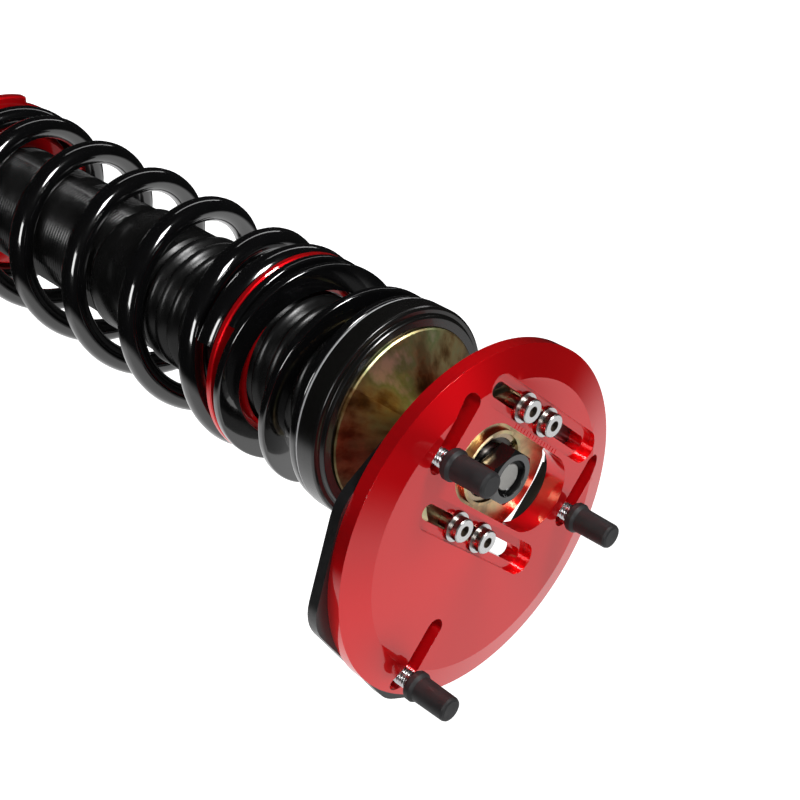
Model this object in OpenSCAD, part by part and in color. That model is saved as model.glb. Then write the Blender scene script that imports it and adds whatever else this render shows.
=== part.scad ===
// Front strut coilover with a camber and caster adjustable top mount, in millimetres.
// Z is up the strut, X is the camber direction and Y the caster direction.
// The origin is the centre of the stud circle, on the face that meets the strut tower.

/* [Camber plate] */
// Outside diameter of the round plate
plate_d = 154; // [152:1:164]
// Thickness of the round plate
plate_t = 9.8; // [9.4:0.2:11]
// Diameter of the flat that meets the tower
plate_flat_d = 128; // [126:1:132]
// Height of the bevel round the flat
plate_bevel = 3.6; // [2.5:0.1:5]
// Length of the centre hole along the camber direction
centre_len = 78.3; // [76:0.1:82]
// Width of the centre hole
centre_w = 34.5; // [33.6:0.1:36]
// Centre hole's middle along X, from the plate's centre
centre_x = -2.3; // [-3:0.1:-1.5]
// Centre hole's middle along Y, from the plate's centre
centre_y = 20.9; // [20:0.1:21.5]
// Length of a screw pocket
pocket_len = 87; // [84:0.5:88]
// Width of a screw pocket
pocket_w = 14; // [13.8:0.1:14.4]
// Depth of a screw pocket
pocket_depth = 3.3; // [3:0.1:3.8]
// Length of the slot through a pocket's floor
screw_slot_len = 77; // [76:0.5:78]
// Width of the slot through a pocket's floor
screw_slot_w = 6.7; // [6.6:0.1:7.2]
// Length of a caster slot
caster_len = 34; // [32:0.5:35]
// Width of a caster slot
caster_w = 9; // [8.8:0.1:9.4]
// Depth of a camber mark
mark_depth = 0.4; // [0.2:0.1:0.6]

/* [Studs and their plate] */
// Stud circle diameter
stud_circle_d = 115; // [114:0.5:116]
// Turn of the stud circle about the strut tower
stud_turn = 3.5; // [2:0.5:5]
// Diameter of a stud where the tower sheet sits
stud_d = 8; // [7.8:0.1:8.2]
// Height of a stud above the tower face
stud_top = 23; // [22:0.5:26]
// Thickness of the stud plate
stud_plate_t = 4.8; // [4:0.1:5.5]
// Distance of the stud plate's far sides from the middle
stud_plate_r = 72.3; // [71.8:0.1:73.4]
// Distance of the stud plate's near sides from the middle
stud_plate_flat = 65.2; // [64.9:0.1:66.5]
// Radius of the stud plate's corners
stud_plate_corner = 20; // [16:1:24]
// Width of the stud plate's band round its opening
stud_plate_band = 14; // [12:0.5:15]
// Width of the tab that holds a stud
stud_tab_w = 31.6; // [28:0.2:34]
// Distance of a tab's end from the middle
stud_tab_end = 35.5; // [34:0.5:38]
// Outside diameter of a rubber stud cap
cap_d = 11; // [10.4:0.1:12]
// Outside diameter of a stud cap's collar
cap_collar_d = 13; // [12.6:0.1:14]
// Height of the stud cap's collar
cap_collar_h = 4; // [3:0.1:5]

/* [Setting] */
// How far the plate sits forward of the middle of the caster slots
caster_set = 10; // [8:0.1:11]
// Travel of the strut to each side, along the camber direction
camber_side = 4.7; // [4.4:0.1:4.8]
// Where the strut sits along X, as a share of the way from the middle to a stop
camber_set = -0.72; // [-0.9:0.01:0.9]

/* [Spherical bearing] */
// Radius of the bearing cup's rim in the centre hole
cup_rim_r = 16.5; // [16.4:0.1:16.7]
// Depth of the cup's rim under the tower face
cup_rim_drop = 7.6; // [7.2:0.1:8]
// Radius of the carrier's flange under the plate
flange_r = 35; // [34.5:0.1:35.3]
// Half length of the carrier's flange, along Y
flange_half = 31.5; // [31:0.1:32]
// Distance of the flange's two cut corners from the strut
flange_cut = 31.8; // [31:0.1:32]
// Thickness of the carrier's flange
flange_t = 6.2; // [5.5:0.1:7]
// Distance of a camber screw from the strut along X
screw_x = 9.45; // [9.3:0.05:9.7]
// Distance of a camber screw from the strut along Y
screw_y = 26.6; // [26.4:0.05:26.8]
// Ball radius
ball_r = 11.5; // [11.2:0.1:11.8]
// Height of the ball between its flats
ball_h = 14; // [13.6:0.1:14.4]
// Radius of the bearing race
race_r = 15; // [14.8:0.1:15.4]
// Height of the bearing race
race_h = 12; // [11.6:0.1:12.4]
// Depth of the ball's centre under the tower face
pivot_drop = 16; // [15.8:0.1:16.4]

/* [Rod and bumper] */
// Diameter of the piston rod
rod_d = 22; // [21:0.5:22]
// Diameter of the rod's upper end
rod_end_d = 12; // [11:0.5:12]
// Height of the rod's end above the tower face
rod_proud = 0.6; // [0.2:0.1:1]
// Height of the top nut's upper face above the tower face
nut_top = 2.4; // [2.2:0.1:2.8]
// Width across flats of the top nut
nut_flats = 21.5; // [20:0.1:21.5]
// Height of the top nut
nut_h = 8.4; // [8:0.1:8.8]
// Outside diameter of the bump stop
bump_d = 46; // [42:1:48]
// Length of the bump stop
bump_len = 58; // [50:1:60]

/* [Upper seat] */
// Depth of the gold seat's rim under the tower face
dish_drop = 55.8; // [55:0.1:57]
// Radius of the gold seat's rim
dish_r = 39.9; // [39:0.1:40.2]
// Depth of the black seat ring's top under the tower face
seat_ring_top = 57.3; // [57:0.1:57.6]
// Outside radius of the black seat ring
seat_ring_r = 48.5; // [48:0.1:49]
// Thickness of the gold seat
seat_wall = 3; // [2.4:0.1:3.4]

/* [Springs] */
// Depth of the upper end of the helper spring
helper_top = 71; // [70.5:0.1:72]
// Fitted length of the helper spring
helper_len = 54.4; // [53:0.1:56]
// Outside radius of the helper spring
helper_r = 48; // [47.5:0.1:48.4]
// Width of the helper spring's flat wire
helper_wire_w = 12; // [11:0.1:12]
// Thickness of the helper spring's flat wire
helper_wire_t = 4; // [3.6:0.1:4.2]
// Turns of the helper spring
helper_turns = 3.41; // [3.38:0.01:3.44]
// Thickness of the divider ring's flange
divider_t = 3; // [2.6:0.1:3.4]
// Radius of the divider ring's flange
divider_r = 49.3; // [49:0.1:50]
// Height of the divider ring's collar into the helper spring
divider_up = 6; // [5:0.1:8]
// Height of the divider ring's collar into the main spring
divider_down = 10; // [8:0.1:12]
// Fitted length of the main spring
main_len = 230.4; // [228:0.1:232]
// Wire diameter of the main spring
main_wire_d = 11.4; // [11:0.1:11.8]
// Radius of the main spring at the middle of its wire
main_r = 43.3; // [43:0.1:43.6]
// Turns of the main spring
main_turns = 6.4; // [6.3:0.01:6.5]

/* [Damper body] */
// Thread diameter of the body
body_d = 58; // [57:0.5:58]
// Bore diameter of the body
body_bore = 50; // [48:0.5:51]
// Depth of the body's upper end under the tower face
body_top = 222; // [221:0.5:223]
// Length of the body
body_len = 318; // [314:1:322]
// Outside diameter of the lower spring seat
lower_seat_d = 104; // [102:0.5:106]
// Thickness of the lower spring seat's flange
lower_seat_t = 6; // [5:0.1:7]
// Height of the lower spring seat's collar above its flange
lower_seat_up = 20; // [16:0.5:22]
// Height of a lock ring
lock_h = 12; // [10:0.5:14]
// Outside diameter of a lock ring
lock_d = 78; // [76:0.5:82]

/* [Dust boot] */
// Outside radius of the boot's ribs
boot_r = 32.4; // [32:0.1:32.6]
// Distance from rib to rib
boot_pitch = 8.5; // [8.4:0.1:8.6]
// Number of ribs
boot_ribs = 13; // [12:1:13]
// Wall of the boot
boot_wall = 1.6; // [1.2:0.1:2]
// Length of the plain cuff
boot_cuff = 41; // [40:0.5:44]

/* [Knuckle bracket] */
// Depth of the bracket's upper end under the tower face
bracket_top = 462; // [456:1:470]
// Height of the bracket's sleeve
bracket_h = 112; // [108:1:116]
// Wall of the bracket's sleeve
bracket_wall = 5; // [4:0.1:6]
// Gap between the two ears
ear_gap = 42; // [40:0.5:44]
// Thickness of an ear
ear_t = 7; // [6:0.1:8]
// Distance of the bolt holes from the strut along X
ear_reach = 58; // [54:0.5:60]
// Distance between the two bolt holes
bolt_spacing = 60; // [56:0.5:64]
// Diameter of a knuckle bolt hole
bolt_hole_d = 14.2; // [13:0.1:14.6]
// Diameter of the brake line's hole
line_hole_d = 10.5; // [9:0.1:11]

/* [Hidden] */
$fn = 64;

// Clearances
run = 0.05;        // a running or screwed fit, on the radius
seat_gap = 0.3;    // a curved piece that rests on another body
wide = 0.8;        // a hole round something that only passes through
eps = 0.01;

// Radii
body_r = body_d / 2;
bore_r = body_bore / 2;
rod_r = rod_d / 2;
rod_end_r = rod_end_d / 2;
rod_pin_r = 7;
lock_r = lock_d / 2;
lower_seat_r = lower_seat_d / 2;
sleeve_r = body_r + run + bracket_wall;

// Places in the row frame
studs_at = [for (i = [0:2]) 30 + stud_turn + 120 * i];
slot_mid = [-1, -1];
plate_mid = [-slot_mid.x, caster_set - slot_mid.y];
hole_mid = plate_mid + [centre_x, centre_y];
pocket_shift = -0.2;
camber_mid = -1.316;

// Camber and caster travel that the slots leave
caster_back = caster_len / 2 - stud_d / 2 + caster_set;
caster_ahead = caster_len / 2 - stud_d / 2 - caster_set;
camber_in = camber_side * (1 + camber_set);
camber_out = camber_side * (1 - camber_set);
strut = hole_mid + [camber_mid + camber_set * camber_side, 0];

// Studs
knurl_r = stud_d / 2 + 0.2;
stud_neck_r = stud_d / 2 - 0.25;
stud_plate_low = -plate_t - stud_plate_t;

// Screws
screw_r = 3;
screw_head_r = 5.1;
screw_head_h = 2.6;
screw_socket_r = 4 / 2 / cos(30);
washer_t = 1.1;
lock_t = 1.3;
washer_r = 6.4;
ledge = -pocket_depth;

// Bearing stack, as heights on the strut
flange_top = -plate_t;
flange_low = flange_top - flange_t;
pivot = -pivot_drop;
race_top = pivot + race_h / 2;
race_low = pivot - race_h / 2;
liner_t = 0.5;
liner_r = ball_r + run + liner_t;
cup_low = race_low - 2;
cup_r = race_r + 4.5;
ring_t = 1.3;
ball_top = pivot + ball_h / 2;
ball_low = pivot - ball_h / 2;
nut_low = nut_top - nut_h;
nut_recess_r = 8;
nut_recess_h = 3.6;
nut_collar_r = 8.6;
spacer_h = 10;
spacer_r = 9;
spacer_low = ball_low - spacer_h;
spacer_flange_t = 3;
spacer_flange_r = 19;

// Thrust bearing
thrust_race_t = 2.5;
thrust_ball_r = 2;
thrust_mid_r = 15.2;
thrust_bore = rod_r + wide;
thrust_top = spacer_low;
thrust_mid = thrust_top - thrust_race_t - run - thrust_ball_r;
thrust_low = thrust_mid - thrust_ball_r - run - thrust_race_t;

// Upper seat
hub_r = spacer_flange_r - 2;
hub_drop = 3;
hub_low = -dish_drop - 2;
spigot_r = 34.3;
spigot_low = -80;
spigot_in = 31.4;
ring_shelf = -62;
ring_step_r = 45;
ring_step_h = 2;

// Springs
helper_pitch_end = 0.711;
helper_ramp = 0.3;
helper_tip = 36;
helper_from = -helper_top - seat_gap;
divider_top = -helper_top - helper_len - 2 * seat_gap;
divider_low = divider_top - divider_t;
main_from = divider_low - seat_gap;
main_to = main_from - main_len;
main_pitch_end = 0.486;
main_ramp = 0.5;
main_tip = 54;
rings_per_turn = 8;
chord_grow = 1.04;
collar_r = 34.4;
lower_collar_r = 35.2;

// Boot
boot_top = spigot_low + 12;
cuff_r = body_r + run + boot_wall;
first_rib = -91.5;
rib_root = boot_r - 4.5;
cuff_low = first_rib - boot_pitch * (boot_ribs - 0.5) - boot_cuff;

// Damper
bump_top = hub_low - 1;
gland_h = 22;
gland_low = -body_top - gland_h;
rebound_h = 12;
rebound_low = gland_low - seat_gap - rebound_h;
piston_h = 14;
piston_low = rebound_low - piston_h;
piston_nut_h = 8;
rod_low = piston_low - piston_nut_h - 1;
port_r = 2.5;
port_at = (rod_pin_r + bore_r) / 2 - 1;
floating_rise = 40;
floating_h = 16;
floating_wall = 5;
body_low = -body_top - body_len;
lower_seat_top = main_to - seat_gap;
lower_seat_low = lower_seat_top - lower_seat_t;

// Bracket
bracket_low = -bracket_top - bracket_h;
bolt_top = -bracket_top - 36;
ear_round = 17;
ear_end = ear_reach + ear_round;
tab_t = 3;
tab_reach = 22;
tab_drop = 40;
seat_nut_h = 8;

// Underside of the gold dish at a radius, one wall under its top
function dish_under(r) =
    thrust_low - hub_drop - seat_wall
        - (dish_drop + thrust_low - hub_drop) * (r - hub_r) / (dish_r - hub_r);
function polar(r, a) = [r * cos(a), r * sin(a)];

// Rise of a coil that starts flat, ramps up to one turn per pitch and ends flat
function eased(x, w) =
    x <= 0 ? 0 :
    x >= w ? x - w / 2 :
    x / 2 - w * sin(180 * x / w) / (2 * PI);
function rise(t, turns, flat, ramp) =
    (eased(t - flat, ramp) - eased(t - (turns - flat - ramp), ramp))
        / (turns - 2 * flat - ramp);

// Points of one ring of a coil: section gives [out, up] pairs
function coil_ring(section, r, a, z) =
    [for (s = section) [(r + s.x) * cos(a), (r + s.x) * sin(a), z + s.y]];

// Triangles that join n-sided rings into one closed tube
function tube_faces(rings, n, flip) = [
    for (k = [0:rings - 2], i = [0:n - 1])
        let (a = k * n + i, b = k * n + (i + 1) % n)
        each flip
            ? [[a, b, b + n], [a, b + n, a + n]]
            : [[a, b + n, b], [a, a + n, b + n]],
    for (i = [1:n - 2]) flip ? [0, i + 1, i] : [0, i, i + 1],
    for (i = [1:n - 2])
        let (e = (rings - 1) * n)
        flip ? [e, e + i, e + i + 1] : [e, e + i + 1, e + i]
];

helper_section = [
    [-helper_wire_w / 2, -helper_wire_t / 2 + 0.2],
    [0, -helper_wire_t / 2],
    [helper_wire_w / 2, -helper_wire_t / 2 + 0.2],
    [helper_wire_w / 2, helper_wire_t / 2 - 0.2],
    [0, helper_wire_t / 2],
    [-helper_wire_w / 2, helper_wire_t / 2 - 0.2]
];
helper_rings = ceil(helper_turns * rings_per_turn) + 1;
helper_mid_r = (helper_r - helper_wire_w / 2) * chord_grow;
helper_drop = helper_len - helper_wire_t;
helper_path = [
    for (k = [0:helper_rings - 1])
        let (t = helper_turns * k / (helper_rings - 1))
        [helper_tip + 360 * t,
         helper_from - helper_wire_t / 2
            - helper_drop * rise(t, helper_turns, helper_pitch_end, helper_ramp)]
];

main_section = [for (i = [0:5]) polar(main_wire_d / 2, 60 * i + 30)];
main_rings = ceil(main_turns * rings_per_turn) + 1;
main_mid_r = main_r * chord_grow;
main_rise = main_len - main_wire_d;
main_path = [
    for (k = [0:main_rings - 1])
        let (t = main_turns * k / (main_rings - 1))
        [main_tip + 360 * t,
         main_to + main_wire_d / 2
            + main_rise * rise(t, main_turns, main_pitch_end, main_ramp)]
];

function coil_points(section, r, path) =
    [for (p = path) each coil_ring(section, r, p[0], p[1])];

// Least distance between rings about a turn apart, less the wire between them
function self_gap(path, r, thick) = min([
    for (k = [0:len(path) - 1], j = [k + 6:1:min(len(path) - 1, k + 10)])
        norm([r * cos(path[k][0]) - r * cos(path[j][0]),
              r * sin(path[k][0]) - r * sin(path[j][0]),
              path[k][1] - path[j][1]])
]) - thick;

echo("helper spring self gap", self_gap(helper_path, helper_mid_r, helper_wire_t));
echo("main spring self gap", self_gap(main_path, main_mid_r, main_wire_d));

// A straight slot with round ends
module obround(len, w) {
    r = w / 2;
    square([len - w, w], center = true);
    for (s = [-1, 1]) {
        translate([s * (len - w) / 2, 0]) circle(r);
    }
}

// A tube between two heights
module tube(r, bore, low, top) {
    translate([0, 0, low])
        difference() {
            cylinder(h = top - low, r = r);
            translate([0, 0, -1]) cylinder(h = top - low + 2, r = bore);
        }
}

module on_strut() {
    translate([strut.x, strut.y, 0]) children();
}

module at_studs() {
    for (a = studs_at) {
        translate([polar(stud_circle_d / 2, a).x, polar(stud_circle_d / 2, a).y, 0])
            children();
    }
}

module at_screws() {
    for (sx = [-1, 1], sy = [-1, 1]) {
        translate([strut.x + sx * screw_x, strut.y + sy * screw_y, 0]) children();
    }
}

module cut_to(low, top) {
    translate([0, 0, low]) linear_extrude(top - low) children();
}

// Top mount
module camber_plate() {
    color("Crimson")
    difference() {
        translate([plate_mid.x, plate_mid.y, 0])
            rotate_extrude($fn = 128)
            polygon([
                [0, -plate_t], [plate_d / 2, -plate_t], [plate_d / 2, -plate_bevel],
                [plate_flat_d / 2, 0], [0, 0]
            ]);
        translate([hole_mid.x, hole_mid.y, 0])
            cut_to(-plate_t - 1, 1) obround(centre_len, centre_w);
        for (s = [-1, 1]) {
            translate([hole_mid.x + pocket_shift, hole_mid.y + s * screw_y, 0]) {
                cut_to(-pocket_depth, 1) obround(pocket_len, pocket_w);
                cut_to(-plate_t - 1, 1)
                    obround(screw_slot_len, screw_slot_w);
            }
        }
        translate([0, caster_set, 0])
            at_studs() cut_to(-plate_t - 1, 1) rotate(90) obround(caster_len, caster_w);
        camber_marks();
    }
}

// Plain graduations on the land between the centre hole and the upper pocket
module camber_marks() {
    land = (screw_y - pocket_w / 2 + centre_w / 2) / 2;
    land_w = screw_y - pocket_w / 2 - centre_w / 2;
    for (i = [-7:7]) {
        translate([hole_mid.x + 2.5 * i, hole_mid.y + land, -mark_depth])
            cut_to(0, 1) square([0.5, land_w - 0.5], center = true);
    }
}

// Middle of the round corner between two sides, each given as [angle, distance]
function corner_mid(p, q, r) = [
    (p[1] - r) * sin(q[0]) - (q[1] - r) * sin(p[0]),
    (q[1] - r) * cos(p[0]) - (p[1] - r) * cos(q[0])
] / sin(q[0] - p[0]);

// An outline of straight sides whose corners are rounded to radius r
module rounded_sides(sides, r, steps = 6) {
    n = len(sides);
    polygon([
        for (i = [0:n - 1])
            let (p = sides[i], next = sides[(i + 1) % n],
                 q = i < n - 1 ? next : [next[0] + 360, next[1]],
                 mid = corner_mid(p, q, r))
            for (k = [0:steps]) mid + polar(r, p[0] + (q[0] - p[0]) * k / steps)
    ]);
}

// Sides of the stud plate, drawn in by a margin: one near and two far to each stud
function stud_plate_sides(margin) = [
    for (a = studs_at)
        each [[a - 18, stud_plate_flat - margin],
              [a + 11, stud_plate_r - margin],
              [a + 51.5, stud_plate_r - margin]]
];

// The opening, with a tab left in it for each stud
module stud_plate_opening() {
    tab_turn = 18.5;
    tab_round = 5;
    stud_out = stud_circle_d / 2 * cos(tab_turn);
    stud_side = stud_circle_d / 2 * sin(tab_turn);
    difference() {
        rounded_sides(stud_plate_sides(stud_plate_band), stud_plate_corner - stud_plate_band);
        for (a = studs_at) {
            rotate(a - tab_turn)
                translate([stud_out, stud_side])
                rounded_rect(stud_out - stud_tab_end, stud_tab_w / 2, tab_round);
        }
    }
}

// Outline of the carrier's flange about the strut, grown by a margin
module flange_outline(margin) {
    r = flange_r + margin;
    difference() {
        intersection() {
            circle(r);
            square([3 * r, 2 * (flange_half + margin)], center = true);
        }
        for (a = [50, 130]) {
            rotate(a) translate([flange_cut + margin, -r]) square([r, 2 * r]);
        }
    }
}

// Room that the flange sweeps over its camber and caster travel
module carrier_room() {
    r = flange_r + seat_gap;
    translate([strut.x, strut.y]) {
        for (x = [-camber_in, camber_out], y = [-caster_back, caster_ahead]) {
            translate([x, y]) flange_outline(seat_gap);
        }
        translate([-r - camber_in, -caster_back])
            square([2 * r + camber_in + camber_out, caster_back + caster_ahead]);
    }
}

module stud_plate() {
    color("DimGray")
    difference() {
        cut_to(stud_plate_low, -plate_t)
            rounded_sides(stud_plate_sides(0), stud_plate_corner);
        cut_to(stud_plate_low - 1, -plate_t + 1) {
            stud_plate_opening();
            carrier_room();
        }
        at_studs()
            translate([0, 0, stud_plate_low - 1])
            cylinder(h = stud_plate_t + 2, r = knurl_r + run);
    }
}

module tower_studs() {
    head_r = stud_d / 2 + 2;
    head_t = 2.5;
    shank_low = 0.1;
    shank_top = 3.9;
    color("Silver")
    at_studs()
        rotate_extrude()
        polygon([
            [0, stud_plate_low - head_t],
            [head_r, stud_plate_low - head_t],
            [head_r, stud_plate_low],
            [knurl_r, stud_plate_low],
            [knurl_r, -plate_t],
            [stud_neck_r, -plate_t],
            [stud_neck_r, shank_low],
            [stud_d / 2, shank_low],
            [stud_d / 2, shank_top],
            [stud_neck_r, shank_top],
            [stud_neck_r, stud_top - 1],
            [stud_neck_r - 1, stud_top],
            [0, stud_top]
        ]);
}

module stud_caps() {
    cap_low = 4.2;
    bore = stud_neck_r + run;
    cap_top = stud_top + 2;
    collar_r = cap_collar_d / 2;
    collar_top = cap_low + cap_collar_h;
    color("Black")
    at_studs()
        rotate_extrude()
        polygon([
            [bore, cap_low],
            [collar_r - 0.6, cap_low],
            [collar_r, cap_low + 1],
            [collar_r, collar_top - 1],
            [collar_r - 0.6, collar_top],
            [cap_d / 2, collar_top + 0.4],
            [cap_d / 2 - 0.2, cap_top - 1.3],
            [cap_d / 2 - 0.6, cap_top - 0.4],
            [cap_d / 2 - 1.5, cap_top],
            [0, cap_top],
            [0, stud_top + seat_gap],
            [bore, stud_top + seat_gap]
        ]);
}

module camber_screws() {
    head_low = ledge + washer_t + lock_t;
    color("Silver")
    at_screws()
        difference() {
            union() {
                translate([0, 0, head_low])
                    rotate_extrude()
                    polygon([
                        [0, 0], [screw_head_r, 0], [screw_head_r, screw_head_h - 0.4],
                        [screw_head_r - 0.4, screw_head_h], [0, screw_head_h]
                    ]);
                translate([0, 0, flange_low - 1])
                    cylinder(h = head_low - flange_low + 1 + eps, r = screw_r);
            }
            translate([0, 0, head_low + 0.8])
                cylinder(h = screw_head_h, r = screw_socket_r, $fn = 6);
        }
}

module lock_washers() {
    color("Silver")
    at_screws()
        difference() {
            translate([0, 0, ledge + washer_t])
                difference() {
                    cylinder(h = lock_t, r = screw_head_r - 0.2);
                    translate([0, 0, -1]) cylinder(h = lock_t + 2, r = screw_r + run);
                }
            rotate(40)
                translate([screw_r - 1, -0.4, ledge]) cube([4, 0.8, 6]);
        }
}

module flat_washers() {
    color("Silver")
    at_screws()
        tube(washer_r, screw_r + run, ledge, ledge + washer_t);
}

// The gold block that slides under the plate and holds the bearing in its cup
module bearing_carrier() {
    color("Goldenrod")
    difference() {
        on_strut() {
            cut_to(flange_low, flange_top) flange_outline(0);
            translate([0, 0, flange_top - eps])
                cylinder(h = -cup_rim_drop - flange_top + eps, r = cup_rim_r, $fn = 96);
            translate([0, 0, cup_low])
                cylinder(h = flange_low - cup_low + eps, r = cup_r);
        }
        on_strut() translate([0, 0, race_low]) cylinder(h = 30, r = race_r + run);
        on_strut() translate([0, 0, cup_low - 1]) cylinder(h = 10, r = race_r - 1.6);
        on_strut() translate([0, 0, race_top - eps])
            cylinder(h = ring_t + 2 * eps, r = race_r + 0.6 + run);
        at_screws()
            translate([0, 0, flange_low - 1]) cylinder(h = flange_t + 3, r = screw_r + run);
    }
}

// A rectangle with round corners, from its half sizes
module rounded_rect(half_x, half_y, r) {
    square([2 * half_x, 2 * (half_y - r)], center = true);
    square([2 * (half_x - r), 2 * half_y], center = true);
    for (sx = [-1, 1], sy = [-1, 1]) {
        translate([sx * (half_x - r), sy * (half_y - r)]) circle(r);
    }
}

module bearing_race() {
    color("LightSteelBlue")
    on_strut()
        difference() {
            translate([0, 0, race_low]) cylinder(h = race_h, r = race_r);
            translate([0, 0, pivot]) sphere(liner_r + run, $fn = 96);
        }
}

module bearing_liner() {
    liner_h = race_h - 1;
    color("Ivory")
    on_strut()
        translate([0, 0, pivot])
        difference() {
            intersection() {
                sphere(liner_r, $fn = 96);
                translate([-20, -20, -liner_h / 2]) cube([40, 40, liner_h]);
            }
            sphere(ball_r + run, $fn = 96);
        }
}

module bearing_ball() {
    color("Silver")
    on_strut()
        difference() {
            intersection() {
                translate([0, 0, pivot]) sphere(ball_r, $fn = 96);
                translate([-20, -20, ball_low]) cube([40, 40, ball_h]);
            }
            translate([0, 0, ball_low - 1]) cylinder(h = ball_h + 2, r = rod_end_r + run);
        }
}

module retaining_ring() {
    color("Tan")
    on_strut()
        difference() {
            tube(race_r + 0.6, race_r - 2, race_top, race_top + ring_t);
            rotate(65)
                translate([race_r - 3, -2, race_top - 1]) cube([5, 4, ring_t + 2]);
        }
}

module top_nut() {
    color("DimGray")
    on_strut()
        difference() {
            union() {
                intersection() {
                    translate([0, 0, nut_low])
                        cylinder(h = nut_h, r = nut_flats / 2 / cos(30), $fn = 6);
                    translate([0, 0, nut_low])
                        rotate_extrude()
                        polygon([
                            [0, 0], [nut_flats / 2 + 1.7, 0],
                            [nut_flats / 2 + 1.7, nut_h - 1.3],
                            [nut_flats / 2 - 0.2, nut_h], [0, nut_h]
                        ]);
                }
                translate([0, 0, ball_top])
                    cylinder(h = nut_low - ball_top + eps, r = nut_collar_r);
            }
            translate([0, 0, ball_top - 1]) cylinder(h = 20, r = rod_end_r + run);
            translate([0, 0, nut_top - nut_recess_h])
                cylinder(h = nut_recess_h + 1, r = nut_recess_r);
        }
}

module piston_rod() {
    color("Silver")
    on_strut()
        rotate_extrude()
        polygon([
            [0, rod_low],
            [rod_pin_r, rod_low],
            [rod_pin_r, rebound_low],
            [rod_r, rebound_low],
            [rod_r, spacer_low - 1],
            [rod_r - 1, spacer_low],
            [rod_end_r, spacer_low],
            [rod_end_r, rod_proud - 0.4],
            [rod_end_r - 0.4, rod_proud],
            [0, rod_proud]
        ]);
}

module rod_spacer() {
    color("Silver")
    on_strut()
        difference() {
            union() {
                translate([0, 0, spacer_low]) cylinder(h = spacer_h, r = spacer_r);
                translate([0, 0, spacer_low])
                    cylinder(h = spacer_flange_t, r = spacer_flange_r);
            }
            translate([0, 0, spacer_low - 1])
                cylinder(h = spacer_h + 2, r = rod_end_r + run);
        }
}

module thrust_upper_race() {
    color("Silver")
    on_strut()
        tube(spacer_flange_r, thrust_bore, thrust_top - thrust_race_t, thrust_top);
}

module thrust_balls() {
    count = 18;
    color("Silver")
    on_strut()
        for (i = [0:count - 1]) {
            translate([polar(thrust_mid_r, 360 * i / count).x,
                       polar(thrust_mid_r, 360 * i / count).y, thrust_mid])
                sphere(thrust_ball_r, $fn = 24);
        }
}

module thrust_lower_race() {
    color("Silver")
    on_strut()
        tube(spacer_flange_r, thrust_bore, thrust_low, thrust_low + thrust_race_t);
}

// Upper seat
module upper_spring_seat() {
    top = thrust_low;
    color("Goldenrod")
    on_strut()
        rotate_extrude($fn = 96)
        polygon([
            [rod_r + wide, top],
            [hub_r, top],
            [hub_r, top - hub_drop],
            [dish_r, -dish_drop],
            [dish_r + 0.6, -dish_drop - 0.6],
            [dish_r + 0.6, ring_shelf],
            [spigot_r, ring_shelf],
            [spigot_r, spigot_low + 1],
            [spigot_r - 1, spigot_low],
            [spigot_in, spigot_low],
            [spigot_in, dish_under(spigot_in)],
            [hub_r, dish_under(hub_r)],
            [hub_r, hub_low],
            [rod_r + wide, hub_low]
        ]);
}

module seat_ring() {
    rim = dish_r + 0.6 + run;
    step = -seat_ring_top - ring_step_h;
    color("Black")
    on_strut()
        rotate_extrude($fn = 96)
        polygon([
            [spigot_r + run, -helper_top],
            [spigot_r + run, ring_shelf],
            [rim, ring_shelf],
            [rim, -seat_ring_top],
            [ring_step_r - 0.5, -seat_ring_top],
            [ring_step_r, -seat_ring_top - 0.5],
            [ring_step_r + 0.6, step],
            [seat_ring_r - 1.2, step],
            [seat_ring_r - 0.3, step - 0.5],
            [seat_ring_r, step - 1.5],
            [seat_ring_r, -helper_top + 0.8],
            [seat_ring_r - 0.6, -helper_top]
        ]);
}

// Springs and the ring between them
module helper_spring() {
    color("Black")
    on_strut()
        polyhedron(
            points = coil_points(helper_section, helper_mid_r, helper_path),
            faces = tube_faces(helper_rings, 6, true)
        );
}

module divider_ring() {
    bore = boot_r + seat_gap + 0.3;
    color("Crimson")
    on_strut()
        rotate_extrude($fn = 96)
        polygon([
            [bore, divider_low - divider_down],
            [lower_collar_r - 1, divider_low - divider_down],
            [lower_collar_r, divider_low - divider_down + 1],
            [lower_collar_r, divider_low],
            [divider_r - 0.5, divider_low],
            [divider_r, divider_low + 0.5],
            [divider_r, divider_top - 0.5],
            [divider_r - 0.5, divider_top],
            [collar_r, divider_top],
            [collar_r, divider_top + divider_up],
            [bore, divider_top + divider_up]
        ]);
}

module main_spring() {
    color("Black")
    on_strut()
        polyhedron(
            points = coil_points(main_section, main_mid_r, main_path),
            faces = tube_faces(main_rings, 6, false)
        );
}

// A bellows that is one wall of even thickness, folded rib by rib
module dust_boot() {
    half = boot_pitch / 2;
    rib_z = [for (i = [0:boot_ribs - 1]) first_rib - boot_pitch * i];
    last = rib_z[boot_ribs - 1];
    neck_r = spigot_in - seat_gap;
    outer = [
        [neck_r, boot_top],
        [neck_r, first_rib + half + 3],
        [rib_root, first_rib + half],
        for (i = [0:boot_ribs - 1])
            each [[boot_r, rib_z[i] + 0.8], [boot_r, rib_z[i] - 0.8],
                  [rib_root, rib_z[i] - half]],
        [cuff_r, last - half - 2],
        [cuff_r, cuff_low]
    ];
    inner = [for (p = outer) [p.x - boot_wall, p.y]];
    last_i = len(outer) - 1;
    color("Black")
    on_strut()
        rotate_extrude()
        polygon(concat(outer, [for (i = [0:last_i]) inner[last_i - i]]));
}

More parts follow.
